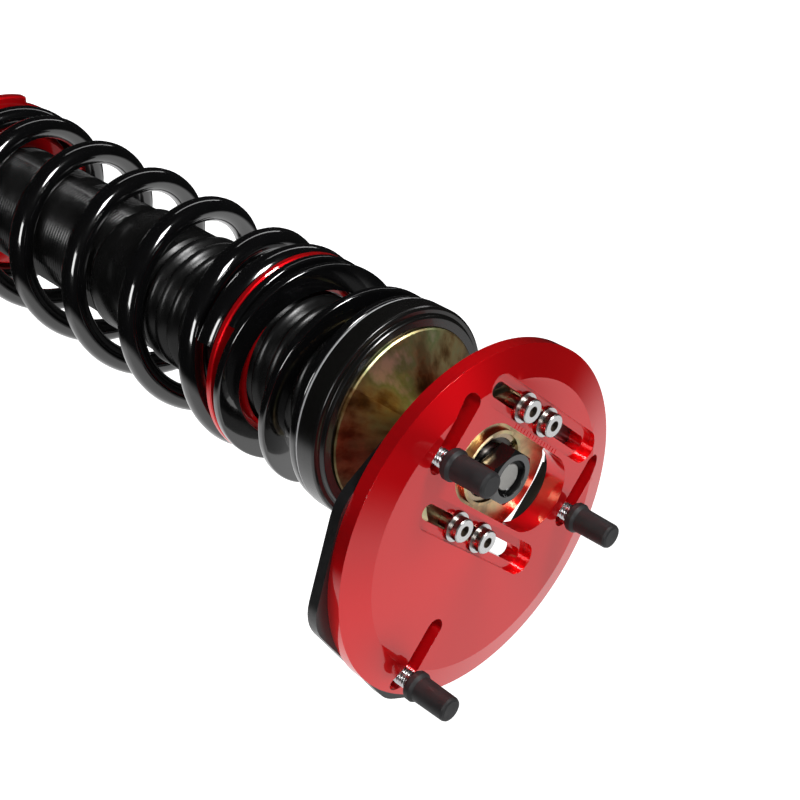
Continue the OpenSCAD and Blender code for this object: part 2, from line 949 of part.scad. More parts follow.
module bump_stop() {
    r = bump_d / 2;
    third = bump_len / 3;
    color("Khaki")
    on_strut()
        rotate_extrude()
        polygon([
            [rod_r + run, bump_top],
            [r, bump_top],
            [r, bump_top - third + 3],
            [r - 3, bump_top - third],
            [r - 1, bump_top - third - 3],
            [r - 2, bump_top - 2 * third + 3],
            [r - 5, bump_top - 2 * third],
            [r - 4, bump_top - 2 * third - 3],
            [r - 6, bump_top - bump_len + 3],
            [r - 8, bump_top - bump_len],
            [rod_r + run, bump_top - bump_len]
        ]);
}

// Damper
module gland_nut() {
    color("DimGray")
    on_strut()
        difference() {
            tube(bore_r - run, rod_r + run, gland_low, -body_top);
            translate([0, 0, -body_top - 4]) cylinder(h = 6, r = rod_r + 5);
            for (a = [0:90:270]) {
                rotate(a)
                    translate([rod_r + 9, 0, -body_top - 5]) cylinder(h = 6, r = 2.5);
            }
        }
}

module rod_seal() {
    color("Black")
    on_strut()
        tube(rod_r + 5 - run, rod_r + run, -body_top - 4, -body_top - 0.5);
}

module rebound_stop() {
    color("DimGray")
    on_strut()
        rotate_extrude()
        polygon([
            [rod_r + run, rebound_low],
            [rod_r + 6, rebound_low],
            [rod_r + 7, rebound_low + 3],
            [rod_r + 7, rebound_low + rebound_h - 3],
            [rod_r + 5, rebound_low + rebound_h],
            [rod_r + run, rebound_low + rebound_h]
        ]);
}

module piston() {
    color("Silver")
    on_strut()
        difference() {
            tube(bore_r - run, rod_pin_r + run, piston_low, rebound_low);
            for (a = [0:60:300]) {
                rotate(a)
                    translate([port_at, 0, piston_low - 1])
                    cylinder(h = piston_h + 2, r = port_r);
            }
        }
}

module piston_nut() {
    color("Silver")
    on_strut()
        difference() {
            translate([0, 0, piston_low - piston_nut_h])
                cylinder(h = piston_nut_h, r = rod_r / cos(30), $fn = 6);
            translate([0, 0, rod_low]) cylinder(h = piston_nut_h + 2, r = rod_pin_r + run);
        }
}

module shock_body() {
    floor_t = 8;
    color("Silver")
    on_strut()
        rotate_extrude($fn = 96)
        polygon([
            [0, body_low],
            [body_r - 3, body_low],
            [body_r, body_low + 3],
            [body_r, -body_top - 1],
            [body_r - 1, -body_top],
            [bore_r, -body_top],
            [bore_r, body_low + floor_t],
            [0, body_low + floor_t]
        ]);
}

module floating_piston() {
    low = body_low + floating_rise;
    color("Silver")
    on_strut()
        difference() {
            translate([0, 0, low]) cylinder(h = floating_h, r = bore_r - run);
            translate([0, 0, low + floating_wall])
                cylinder(h = floating_h, r = bore_r - floating_wall);
        }
}

module lower_spring_seat() {
    bore = body_r + run;
    r = lower_seat_r;
    nut_r = lock_r + 1;
    color("Crimson")
    on_strut()
        difference() {
            rotate_extrude($fn = 96)
                polygon([
                    [bore, lower_seat_low - seat_nut_h],
                    [nut_r - 2, lower_seat_low - seat_nut_h],
                    [nut_r, lower_seat_low - seat_nut_h + 2],
                    [nut_r, lower_seat_low],
                    [r - 0.8, lower_seat_low],
                    [r, lower_seat_low + 0.8],
                    [r, lower_seat_top - 0.8],
                    [r - 0.8, lower_seat_top],
                    [lower_collar_r, lower_seat_top],
                    [lower_collar_r, lower_seat_top + lower_seat_up - 1],
                    [lower_collar_r - 1, lower_seat_top + lower_seat_up],
                    [bore, lower_seat_top + lower_seat_up]
                ]);
            spanner_notches(nut_r, lower_seat_low - seat_nut_h - 1, lower_seat_low, 6);
        }
}

// Notches for a hook spanner round a ring of the given radius, a third of its wall deep
module spanner_notches(r, low, top, count) {
    notch_w = 7;
    depth = 0.3 * (r - body_r);
    for (i = [0:count - 1]) {
        rotate(360 * i / count)
            translate([r - depth, -notch_w / 2, low]) cube([depth + 2, notch_w, top - low]);
    }
}

module threaded_ring(r, top, h) {
    difference() {
        rotate_extrude($fn = 96)
            polygon([
                [body_r + run, top - h],
                [r - 0.8, top - h],
                [r, top - h + 0.8],
                [r, top - 0.8],
                [r - 0.8, top],
                [body_r + run, top]
            ]);
        spanner_notches(r, top - h - 1, top + 1, 8);
    }
}

module seat_lock_ring() {
    color("Crimson")
    on_strut() threaded_ring(lock_r, lower_seat_low - seat_nut_h, lock_h);
}

module bracket_lock_ring() {
    color("Crimson")
    on_strut() threaded_ring(lock_r, -bracket_top + lock_h, lock_h);
}

// Bracket that bolts to the wheel's knuckle
module knuckle_bracket() {
    ear_top = bolt_top + ear_round;
    ear_low = bolt_top - bolt_spacing - ear_round;
    color("Silver")
    on_strut()
        difference() {
            union() {
                translate([0, 0, bracket_low]) cylinder(h = bracket_h, r = sleeve_r, $fn = 96);
                for (s = [-1, 1]) {
                    translate([0, s * (ear_gap + ear_t) / 2 + ear_t / 2, 0])
                        rotate([90, 0, 0])
                        linear_extrude(ear_t)
                        ear_outline(ear_low, ear_top);
                }
            }
            translate([0, 0, bracket_low - 1])
                cylinder(h = bracket_h + 2, r = body_r + run, $fn = 96);
            for (z = [bolt_top, bolt_top - bolt_spacing]) {
                translate([ear_reach, ear_gap, z])
                    rotate([90, 0, 0]) cylinder(h = 2 * ear_gap, r = bolt_hole_d / 2);
            }
        }
}

module ear_outline(low, top) {
    corner = 14;
    for (z = [low + corner, top - corner]) {
        translate([ear_end - corner, z]) circle(corner);
    }
    polygon([
        [0, low - 6], [20, low - 6], [ear_end - corner, low],
        [ear_end - corner, top], [20, top + 6], [0, top + 6]
    ]);
    translate([ear_end - corner - 1, low + corner])
        square([corner + 1, top - low - 2 * corner]);
}

module brake_line_tab() {
    z = -bracket_top - tab_drop;
    end_r = 9;
    color("DimGray")
    on_strut()
        difference() {
            union() {
                translate([-sleeve_r - tab_reach, -end_r, z])
                    cube([tab_reach + 2, 2 * end_r, tab_t]);
                translate([-sleeve_r - tab_reach, 0, z]) cylinder(h = tab_t, r = end_r);
            }
            translate([0, 0, z - 1]) cylinder(h = tab_t + 2, r = sleeve_r);
            translate([-sleeve_r - tab_reach + 2, 0, z - 1])
                cylinder(h = tab_t + 2, r = line_hole_d / 2);
        }
}

camber_plate();
stud_plate();
tower_studs();
stud_caps();
camber_screws();
lock_washers();
flat_washers();
bearing_carrier();
bearing_race();
bearing_liner();
bearing_ball();
retaining_ring();
top_nut();
piston_rod();
rod_spacer();
thrust_upper_race();
thrust_balls();
thrust_lower_race();
upper_spring_seat();
seat_ring();
helper_spring();
divider_ring();
main_spring();
dust_boot();
bump_stop();
gland_nut();
rod_seal();
rebound_stop();
piston();
piston_nut();
shock_body();
floating_piston();
lower_spring_seat();
seat_lock_ring();
bracket_lock_ring();
knuckle_bracket();
brake_line_tab();
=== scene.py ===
"""A strut coilover with a camber and caster top mount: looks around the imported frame, in metres."""
import math

import bpy
from mathutils import Matrix, Vector


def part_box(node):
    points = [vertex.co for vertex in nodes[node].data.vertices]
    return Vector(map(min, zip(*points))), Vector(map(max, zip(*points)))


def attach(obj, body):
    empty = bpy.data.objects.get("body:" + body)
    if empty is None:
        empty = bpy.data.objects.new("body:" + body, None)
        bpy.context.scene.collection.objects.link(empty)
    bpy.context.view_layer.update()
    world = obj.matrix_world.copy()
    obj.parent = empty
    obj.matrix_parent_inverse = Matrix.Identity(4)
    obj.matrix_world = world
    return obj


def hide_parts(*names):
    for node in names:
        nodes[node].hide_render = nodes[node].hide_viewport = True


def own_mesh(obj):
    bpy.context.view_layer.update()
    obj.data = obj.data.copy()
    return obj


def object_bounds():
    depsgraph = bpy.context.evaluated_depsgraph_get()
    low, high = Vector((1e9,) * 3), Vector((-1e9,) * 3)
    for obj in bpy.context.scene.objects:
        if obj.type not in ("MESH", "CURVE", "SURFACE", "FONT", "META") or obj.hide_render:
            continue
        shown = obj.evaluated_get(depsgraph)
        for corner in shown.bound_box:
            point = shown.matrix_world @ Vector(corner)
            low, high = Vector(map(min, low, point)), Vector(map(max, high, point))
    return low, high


MM = 0.001
TURN = 2 * math.pi

bpy.context.scene.view_settings.view_transform = "Standard"
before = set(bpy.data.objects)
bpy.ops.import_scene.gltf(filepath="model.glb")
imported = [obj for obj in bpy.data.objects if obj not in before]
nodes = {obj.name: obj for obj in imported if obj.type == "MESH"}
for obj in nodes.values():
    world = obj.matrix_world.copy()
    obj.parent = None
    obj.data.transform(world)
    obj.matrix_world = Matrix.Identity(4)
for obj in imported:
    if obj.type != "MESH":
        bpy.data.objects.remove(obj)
cad_low, cad_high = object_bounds()


def middle(node):
    """Middle of a CAD node's box."""
    low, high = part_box(node)
    return (low + high) / 2


rod = middle("piston_rod")
STRUT = Vector((rod.x, rod.y, 0))
PLATE = middle("camber_plate")

# ---------------------------------------------------------------- camera

# Fitted to the circles in the photo: the camera's axes and place, and its lens in millimetres.
VIEW_RIGHT = Vector((0.5137465844, 0.4981255800, 0.6985236958))
VIEW_DOWN = Vector((0.3084050414, -0.8669864771, 0.3914342588))
VIEW_AHEAD = Vector((0.8005940154, 0.0143302158, -0.5990357814))
EYE = STRUT + Vector((-507.05, -3.45, 315.31)) * MM
FOCAL, SENSOR = 68.30, 36
CLIP = 0.01, 50


def seen(right, down, ahead):
    """A direction in the frame from one given as the camera sees it."""
    return VIEW_RIGHT * right + VIEW_DOWN * down + VIEW_AHEAD * ahead


def turned_to(axis_x, axis_y, axis_z, place):
    """A matrix from three axes and a place."""
    columns = Matrix((axis_x, axis_y, axis_z)).transposed()
    return Matrix.Translation(place) @ columns.to_4x4()


def add_camera():
    data = bpy.data.cameras.new("camera")
    data.lens = FOCAL
    data.sensor_width = SENSOR
    data.clip_start, data.clip_end = CLIP
    camera = bpy.data.objects.new("camera", data)
    camera.matrix_world = turned_to(VIEW_RIGHT, -VIEW_DOWN, -VIEW_AHEAD, EYE)
    bpy.context.scene.collection.objects.link(camera)
    bpy.context.scene.camera = camera


# ---------------------------------------------------------------- node helpers

GRAIN = 0.3, 0.7  # the part of a noise's range that nearly all of it lies in


def fill(socket, value):
    """Links a socket to an output, or sets its value."""
    if hasattr(value, "links"):
        socket.id_data.links.new(value, socket)
    elif socket.type == "RGBA" and len(value) == 3:
        socket.default_value = (*value, 1)
    else:
        socket.default_value = value


class Tree:
    """The node tree of a material or world, with short calls for the nodes it uses."""

    def __init__(self, owner):
        owner.use_nodes = True
        self.tree = owner.node_tree

    def node(self, kind, output, inputs=(), **settings):
        """An output of a new node."""
        made = self.tree.nodes.new("ShaderNode" + kind)
        for key, value in settings.items():
            setattr(made, key, value)
        for key, value in dict(inputs).items():
            fill(made.inputs[key], value)
        return made.outputs[output]

    def math(self, operation, a, b=0.0):
        return self.node("Math", 0, {0: a, 1: b}, operation=operation)

    def vector(self, operation, a, b=(0, 0, 0), output="Vector"):
        return self.node("VectorMath", output, {0: a, 1: b}, operation=operation)

    def joined(self, x, y, z=0.0):
        return self.node("CombineXYZ", 0, {0: x, 1: y, 2: z})

    def span(self, value, low, high, start=0.0, end=1.0, **settings):
        """value, with its range from low to high mapped to one from start to end."""
        inputs = {"Value": value, "From Min": low, "From Max": high, "To Min": start, "To Max": end}
        return self.node("MapRange", 0, inputs, **settings)

    def by_ray(self, shader, glossy, camera):
        """A shader that gives way to others for glossy rays and for the camera's."""
        for ray, other in (("Is Glossy Ray", glossy), ("Is Camera Ray", camera)):
            share = self.node("LightPath", ray)
            shader = self.node("MixShader", 0, {0: share, 1: shader, 2: other})
        return shader

    def restart(self, kind, build):
        """Clears the tree, and leads the shader that build makes to a new output node."""
        self.tree.nodes.clear()
        out = self.tree.nodes.new("ShaderNode" + kind)
        fill(out.inputs[0], build(self))


class Look(Tree):
    """A procedural material. Its shader's inputs are given as keywords."""

    def __init__(self, name, **inputs):
        self.material = bpy.data.materials.new(name)
        super().__init__(self.material)
        self.shader = self.tree.nodes["Principled BSDF"]
        for key, value in inputs.items():
            self.set(key.replace("_", " "), value)
        self.coord = self.node("TexCoord", "Object")

    def set(self, key, value):
        """Links or sets an input of the shader, whose name is matched whatever its capitals."""
        fill(next(s for s in self.shader.inputs if s.name.lower() == key.lower()), value)

    def noise(self, scale, detail=3.0, vector=None):
        inputs = {"Vector": self.coord if vector is None else vector, "Scale": scale,
                  "Detail": detail, "Roughness": 0.55}
        return self.node("TexNoise", "Fac", inputs)

    def ramp(self, value, stops):
        """A colour ramp from a list of (place, colour)."""
        made = self.tree.nodes.new("ShaderNodeValToRGB")
        fill(made.inputs[0], value)
        elements = made.color_ramp.elements
        while len(elements) < len(stops):
            elements.new(0.5)
        for element, (place, colour) in zip(elements, stops):
            element.position = place
            element.color = (*colour, 1)
        return made.outputs[0]

    def mix(self, factor, a, b, blend="MIX"):
        """A mix of two colours."""
        made = self.tree.nodes.new("ShaderNodeMix")
        made.data_type = "RGBA"
        made.blend_type = blend
        for index, value in ((0, factor), (6, a), (7, b)):
            fill(made.inputs[index], value)
        return made.outputs[2]

    def rough(self, noise, low, high):
        """Roughness from low to high over a noise."""
        self.set("Roughness", self.span(noise, *GRAIN, low, high))

    def bump(self, height, distance, strength):
        inputs = {"Height": height, "Distance": distance, "Strength": strength}
        self.set("Normal", self.node("Bump", 0, inputs))

    def polar(self, centre):
        """(radius in metres, turn from 0 to 1) about a vertical line."""
        local = self.vector("SUBTRACT", self.coord, tuple(centre))
        split = self.tree.nodes.new("ShaderNodeSeparateXYZ")
        fill(split.inputs[0], local)
        x, y = split.outputs[0], split.outputs[1]
        squares = self.math("ADD", self.math("MULTIPLY", x, x), self.math("MULTIPLY", y, y))
        radius = self.math("SQRT", squares)
        angle = self.math("ARCTAN2", y, x)
        turn = self.math("ADD", self.math("DIVIDE", angle, TURN), 0.5)
        return radius, turn

    def rings(self, radius, per_metre, detail):
        """A noise in rings, as a lathe's tool leaves them."""
        place = self.joined(self.math("MULTIPLY", radius, per_metre), 0.0)
        return self.noise(1.0, detail, place)

    def lathe(self):
        """Has the highlights of an anisotropic metal follow the rings."""
        self.set("Tangent", self.node("Tangent", 0, direction_type="RADIAL", axis="Z"))


# ---------------------------------------------------------------- materials


def grainy(name, dark, light, rough, grain, tint=None, bump=None, **inputs):
    """A material whose colour, roughness and bump follow a fine noise.

    rough is the lowest and highest roughness, grain the noise's scale and detail, and bump its
    height and strength. tint is the scale and detail of a noise of the colour's own."""
    look = Look(name, **inputs)
    noise = look.noise(*grain)
    look.set("Base Color", look.mix(look.noise(*tint) if tint else noise, dark, light))
    look.rough(noise, *rough)
    if bump:
        look.bump(noise, *bump)
    return look.material


def anodised_red(name, centre):
    """Red anodised aluminium, turned on a lathe about centre."""
    look = Look(name, Metallic=0.85, Coat_Weight=1.0, Coat_Roughness=0.05, Coat_IOR=1.65,
                Anisotropic=0.6, Anisotropic_Rotation=0.25, Specular_Tint=(1.0, 0.08, 0.1))
    radius, _ = look.polar(centre)
    rings = look.rings(radius, 9000, 4.0)
    cloud = look.noise(22.0, 2.0)
    shade = look.mix(cloud, (0.86, 0.003, 0.008), (0.92, 0.009, 0.016))
    groove = look.span(rings, *GRAIN, 0.0, 0.25)
    look.set("Base Color", look.mix(groove, shade, (0.76, 0.001, 0.002)))
    look.rough(rings, 0.4, 0.52)
    look.lathe()
    look.bump(rings, 0.01 * MM, 0.25)
    return look.material


def gold_zinc(name, centre, shade, pale):
    """Yellow passivated zinc with its film's rainbow stains, and painted dark reflections in streaks.

    shade is the brightness of the painted shade on the side away from lit_turn, which lies at
    100 degrees. pale, from 0 to 1, mixes the colour toward a pale gold all over."""
    look = Look(name, Metallic=1.0, Anisotropic=0.6)
    radius, turn = look.polar(centre)
    streak_place = look.joined(
        look.math("MULTIPLY", turn, 22), look.math("MULTIPLY", radius, 60), 0.4)
    streaks = look.noise(1.0, 4.0, streak_place)
    stains = look.noise(45.0, 5.0)
    film = look.math("ADD", look.math("MULTIPLY", streaks, 0.3), look.math("MULTIPLY", stains, 0.7))
    colours = look.ramp(film, [
        (0.34, (0.14, 0.07, 0.02)), (0.42, (0.50, 0.26, 0.09)), (0.48, (0.74, 0.53, 0.24)),
        (0.53, (0.66, 0.58, 0.28)), (0.58, (0.40, 0.46, 0.20)), (0.66, (0.74, 0.56, 0.42)),
    ])
    lit_turn = 0.778
    # painted dark reflections: the colour darkens along the radial streaks
    dark = look.span(streaks, 0.36, 0.56, 0.45, 1.0)
    # painted shade: the colour darkens on the side away from lit_turn, down to shade
    side = look.math("COSINE", look.math("MULTIPLY", look.math("SUBTRACT", turn, lit_turn), TURN))
    dark = look.math("MULTIPLY", dark, look.span(side, -0.4, 0.6, shade, 1.0))
    shaded_film_colour = look.mix(1.0, colours, look.joined(dark, dark, dark), "MULTIPLY")
    look.set("Base Color", look.mix(pale, shaded_film_colour, (0.92, 0.80, 0.52)))
    look.rough(stains, 0.26, 0.42)
    look.lathe()
    look.bump(look.rings(radius, 5000, 2.0), 0.01 * MM, 0.25)
    return look.material


def screw_zinc(low, high):
    """Bright zinc on the camber screws and washers, with painted shade on their sides and in the
    sockets.

    The four screws fill the box from low to high, one at each corner."""
    head_r, socket_r = 5.1 * MM, 2.25 * MM
    corner = ((high.x - low.x) / 2 - head_r, (high.y - low.y) / 2 - head_r, 0)
    look = Look("screw_zinc", Metallic=1.0)
    local = look.vector("SUBTRACT", look.coord, tuple((low + high) / 2))
    offset = look.vector("SUBTRACT", look.vector("ABSOLUTE", local), corner)
    radius = look.vector("LENGTH", look.vector("MULTIPLY", offset, (1, 1, 0)), output="Value")
    # 1 outside the socket and 0 in it: the socket's painted shade and its roughness follow this
    outside_socket_shade = look.span(radius, socket_r, socket_r * 1.04)
    grain = look.noise(900.0, 3.0)
    facing = look.node("SeparateXYZ", "Z", {0: look.node("TexCoord", "Normal")})
    # painted shade: faces that turn sideways get a darker colour than the ends
    ends = look.span(look.math("ABSOLUTE", facing), 0.5, 0.9)
    bright = look.mix(grain, (0.72, 0.72, 0.72), (0.86, 0.86, 0.86))
    metal = look.mix(ends, (0.24, 0.22, 0.2), bright)
    # painted shade: a dark colour in the hex sockets
    look.set("Base Color", look.mix(outside_socket_shade, (0.13, 0.105, 0.085), metal))
    in_socket = look.span(grain, *GRAIN, 0.46, 0.54)
    look.set("Roughness", look.math("SUBTRACT", in_socket, look.math("MULTIPLY", outside_socket_shade, 0.2)))
    look.bump(grain, 0.02 * MM, 0.2)
    return look.material


def ground_steel():
    """Steel ground round, with fine level lines."""
    look = Look("ground_steel", Metallic=1.0)
    lines = look.noise(1.0, 2.0, look.vector("MULTIPLY", look.coord, (300, 300, 6000)))
    look.set("Base Color", look.mix(lines, (0.46, 0.46, 0.47), (0.62, 0.62, 0.63)))
    look.rough(lines, 0.14, 0.26)
    look.bump(lines, 0.01 * MM, 0.2)
    return look.material


def turned_black(name, centre, low, high):
    """Black anodised ring with fine turning lines, and a painted highlight in a thin line at its
    lower outer edge.
    """
    edge, faded = 0.8 * MM, 0.65 * MM
    look = Look(name, Coat_Weight=0.3, Coat_Roughness=0.05)
    radius, _ = look.polar(centre)
    rings = look.rings(radius, 6000, 3.0)
    height = look.node("SeparateXYZ", "Z", {0: look.coord})
    reach = (high.x - low.x) / 2
    past = look.math("ADD", radius, look.math("SUBTRACT", low.z + edge, height))
    # painted highlight: a light grey line along the lower outer edge
    painted_edge_highlight = look.span(past, reach - edge, reach - faded)
    black = look.mix(rings, (0.003, 0.003, 0.003), (0.006, 0.0055, 0.005))
    look.set("Base Color", look.mix(painted_edge_highlight, black, (0.45, 0.45, 0.46)))
    look.rough(rings, 0.16, 0.3)
    look.bump(rings, 0.02 * MM, 0.3)
    return look.material


def cap_rubber():
    """Dull moulded rubber, with a fine grain under wider smears."""
    look = Look("cap_rubber", Specular_IOR_Level=0.35)
    smears = look.noise(180.0, 3.0)
    look.set("Base Color", look.mix(smears, (0.013, 0.013, 0.014), (0.03, 0.03, 0.031)))
    look.rough(smears, 0.42, 0.6)
    look.bump(look.noise(1400.0, 4.0), 0.05 * MM, 0.35)
    return look.material


def foam():
    """Cellular foam of the bump stop."""
    look = Look("bump_foam", Specular_IOR_Level=0.3)
    cells = look.node("TexVoronoi", "Distance", {"Vector": look.coord, "Scale": 1300.0})
    look.set("Base Color", look.mix(cells, (0.62, 0.5, 0.24), (0.78, 0.66, 0.38)))
    look.set("Roughness", look.span(cells, 0.0, 0.6, 0.6, 0.85))
    look.bump(cells, 0.2 * MM, 0.6)
    return look.material


def woven():
    """Woven liner of the spherical bearing."""
    look = Look("liner_weave")
    inputs = {"Vector": look.coord, "Scale": 900.0, "Distortion": 0.4}
    weave = look.node("TexWave", "Fac", inputs)
    look.set("Base Color", look.mix(weave, (0.55, 0.48, 0.34), (0.72, 0.66, 0.5)))
    look.set("Roughness", look.span(weave, 0.0, 1.0, 0.6, 0.8))
    look.bump(weave, 0.1 * MM, 0.4)
    return look.material


def dress(look, *names):
    """Gives CAD nodes a material."""
    for name in names:
        mesh = nodes[name].data
        mesh.materials.clear()
        mesh.materials.append(look)


# ---------------------------------------------------------------- meshes

SHARP = math.radians(38)  # edges that turn by more than this stay sharp
HUB = 0.5 * MM  # radius of the small face in the middle of a closed end


def piece(name, points, faces, look, body, slot, *replaced):
    """A smooth mesh piece that rides on a body."""
    mesh = bpy.data.meshes.new(name)
    mesh.from_pydata([tuple(p) for p in points], [], faces)
    mesh.validate()
    mesh.materials.append(look)
    made = bpy.data.objects.new(name, mesh)
    bpy.context.scene.collection.objects.link(made)
    mesh.shade_smooth()
    mesh.set_sharp_from_angle(angle=SHARP)
    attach(made, body)
    if replaced:
        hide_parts(*replaced)
    return made


def grid_faces(rows, columns, closed_rows=False):
    """Quads of a grid whose columns wrap round, and its rows too where asked."""
    faces = []
    for j in range(rows if closed_rows else rows - 1):
        below, above = j * columns, (j + 1) % rows * columns
        for i in range(columns):
            n = (i + 1) % columns
            faces.append((below + i, below + n, above + n, above + i))
    return faces


def moved(faces, count):
    """Faces whose points come after count others."""
    return [tuple(i + count for i in face) for face in faces]


def ring(centre, radius, z, sides):
    """Points of a level circle. radius may be a number, or give one for each point."""
    radii = radius if isinstance(radius, list) else [radius] * sides
    turns = [TURN * i / sides for i in range(sides)]
    return [(centre.x + r * math.cos(a), centre.y + r * math.sin(a), z)
            for r, a in zip(radii, turns)]


def eased(x, w):
    """How far a run gets in x when its pace grows smoothly from 0 to 1 over w."""
    if x <= 0:
        return 0.0
    if x >= w:
        return x - w / 2
    return x / 2 - w * math.sin(math.pi * x / w) / TURN


def rise(t, turns, flat, ramp):
    """Share of a coil's height at turn t: flat ends, with a smooth change to an even pitch."""
    climb = eased(t - flat, ramp) - eased(t - (turns - flat - ramp), ramp)
    return climb / (turns - 2 * flat - ramp)


def swept_coil(section, radius, tip, turns, height, steps_per_turn=72):
    """Points and faces of a closed coil about the strut.

    section lists the wire's (out, up) points, tip is the angle where the coil starts, and
    height(turn) gives the wire's middle."""
    steps = int(turns * steps_per_turn)
    near = 0.01
    points = []
    for k in range(steps + 1):
        t = turns * k / steps
        angle = tip + TURN * t
        out = Vector((math.cos(angle), math.sin(angle), 0))
        along = Vector((-math.sin(angle), math.cos(angle), 0)) * TURN * radius
        along.z = (height(min(t + near, turns)) - height(max(t - near, 0))) / (2 * near)
        up = out.cross(along).normalized()
        centre = STRUT + out * radius + Vector((0, 0, height(t)))
        points += [centre + out * x + up * y for x, y in section]
    count = len(section)
    faces = grid_faces(steps + 1, count)
    faces.append(tuple(range(count - 1, -1, -1)))
    faces.append(tuple(range(steps * count, (steps + 1) * count)))
    return points, faces


def round_section(radius, sides=20):
    """A round wire's section."""
    turns = [TURN * i / sides for i in range(sides)]
    return [(radius * math.cos(a), radius * math.sin(a)) for a in turns]


def flat_section(width, thick, corner, steps=4):
    """A flat wire's section, with round corners."""
    half_w, half_t = width / 2 - corner, thick / 2 - corner
    points = []
    for sx, sy, start in ((1, 1, 0), (-1, 1, 90), (-1, -1, 180), (1, -1, 270)):
        for k in range(steps + 1):
            a = math.radians(start + 90 * k / steps)
            points.append((sx * half_w + corner * math.cos(a), sy * half_t + corner * math.sin(a)))
    return points


def add_main_spring(look):
    """The round wire's coil, wound up from its seat on the damper."""
    low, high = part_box("main_spring")
    wire_r, radius, turns, flat, ramp = 5.7 * MM, 43.3 * MM, 6.4, 0.486, 0.5
    rise_by = high.z - low.z - 2 * wire_r

    def height(t):
        return low.z + wire_r + rise_by * rise(t, turns, flat, ramp)

    points, faces = swept_coil(round_section(wire_r), radius, math.radians(54), turns, height)
    made = piece("main_coil", points, faces, look, "damper", "black_spring", "main_spring")
    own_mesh(made)


def add_helper_spring(look):
    """The flat wire's coil, wound down from the upper seat."""
    low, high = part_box("helper_spring")
    width, thick, corner, outer = 12 * MM, 4 * MM, 1.1 * MM, 48 * MM
    turns, flat, ramp = 3.41, 0.711, 0.3
    drop_by = high.z - low.z - thick

    def height(t):
        return high.z - thick / 2 - drop_by * rise(t, turns, flat, ramp)

    section = flat_section(width, thick, corner)
    points, faces = swept_coil(section, outer - width / 2, math.radians(36), turns, height, 96)
    made = piece("helper_coil", points, faces, look, "seat", "black_spring", "helper_spring")
    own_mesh(made)


def turned(profile, sides=96, cut=None):
    """Points and faces of a closed ring turned about the strut from (radius, height) pairs.

    cut(row, degrees) gives how far a row's radius is cut back at an angle."""
    points = []
    for row, (r, z) in enumerate(profile):
        if cut:
            r = [r - cut(row, math.degrees(TURN * i / sides)) for i in range(sides)]
        points += ring(STRUT, r, z, sides)
    return points, grid_faces(len(profile), sides, closed_rows=True)


def off_nearest(degrees, first, count):
    """Degrees from the nearest of count evenly spread places, with one of them at first."""
    step = 360 / count
    return abs((degrees - first + step / 2) % step - step / 2)


def add_lower_seat(look):
    """The lower spring seat, with wide gaps in its flange and the spanner notches of its nut."""
    low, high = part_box("lower_spring_seat")
    rim, collar, nut, bore = 52 * MM, 35.2 * MM, 40 * MM, 29.05 * MM
    brim, top, under = high.z - 6 * MM, high.z - 20 * MM, low.z + 8 * MM
    bevel = 0.8 * MM
    profile = [
        (bore, brim), (collar - 1 * MM, brim), (collar, brim - 1 * MM), (collar, top),
        (rim - bevel, top), (rim, top - bevel), (rim, under + bevel), (rim - bevel, under),
        (nut, under), (nut, low.z + 2 * MM), (nut - 2 * MM, low.z), (bore, low.z),
    ]
    flange_rows, nut_rows = range(4, 8), range(8, 11)
    gaps, gap_at, gap_half_width, gap_depth = 5, 93, 19, 3.6 * MM
    notches, notch_at, notch_half_width, notch_depth = 6, 0, 5, 3.3 * MM

    def cut(row, degrees):
        if row in flange_rows and off_nearest(degrees, gap_at, gaps) < gap_half_width:
            return gap_depth
        if row in nut_rows and off_nearest(degrees, notch_at, notches) < notch_half_width:
            return notch_depth
        return 0

    points, faces = turned(profile, 240, cut)
    piece("lobed_seat", points, faces, look, "damper", "red_anodised", "lower_spring_seat")


def add_divider(look):
    """The ring between the springs, its flange a little inside their outer edge."""
    low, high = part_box("divider_ring")
    bore, collar, lower_collar, rim = 33 * MM, 34.4 * MM, 35.2 * MM, 47.8 * MM
    top, under, bevel = high.z - 6 * MM, low.z + 10 * MM, 0.5 * MM
    profile = [
        (bore, high.z), (collar, high.z), (collar, top), (rim - bevel, top), (rim, top - bevel),
        (rim, under + bevel), (rim - bevel, under), (lower_collar, under),
        (lower_collar, low.z + 1 * MM), (lower_collar - 1 * MM, low.z), (bore, low.z),
    ]
    points, faces = turned(profile, 192)
    piece("slim_divider", points, faces, look, "divider", "red_anodised", "divider_ring")


def add_boot(look):
    """The bellows ride with the upper seat; the plain cuff stays on the damper."""
    low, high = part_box("dust_boot")
    wall, rib_r, root_r, cuff_r, neck_r = 1.6 * MM, 32.4 * MM, 27.9 * MM, 30.65 * MM, 31.1 * MM
    pitch, ribs, first, steps, fullness = 8.5 * MM, 13, -91.5 * MM, 10, 0.7
    fold_low = first - pitch * (ribs - 0.5) - 2 * MM
    outer = [(neck_r, high.z), (neck_r, first + pitch)]
    for k in range(steps * ribs + 1):
        z = first + pitch / 2 - pitch * k / steps
        crest = 0.5 - 0.5 * math.cos(TURN * k / steps)
        outer.append((root_r + (rib_r - root_r) * crest ** fullness, z))
    outer.append((cuff_r, fold_low))
    inner = [(r - wall, z) for r, z in reversed(outer)]
    points, faces = turned(outer + inner)
    bellows = piece("boot_bellows", points, faces, look, "seat", "black_rubber", "dust_boot")
    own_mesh(bellows)
    lip_r, inner_r = cuff_r + 0.6 * MM, cuff_r - wall + 0.05 * MM
    cuff = [
        (inner_r, fold_low - 0.2 * MM), (cuff_r - 0.3 * MM, fold_low - 0.2 * MM),
        (cuff_r, fold_low - 0.8 * MM), (cuff_r, low.z + 5 * MM), (lip_r, low.z + 4 * MM),
        (lip_r, low.z + 1 * MM), (cuff_r, low.z), (inner_r, low.z),
    ]
    points, faces = turned(cuff)
    piece("boot_cuff", points, faces, look, "damper", "black_rubber", "dust_boot")


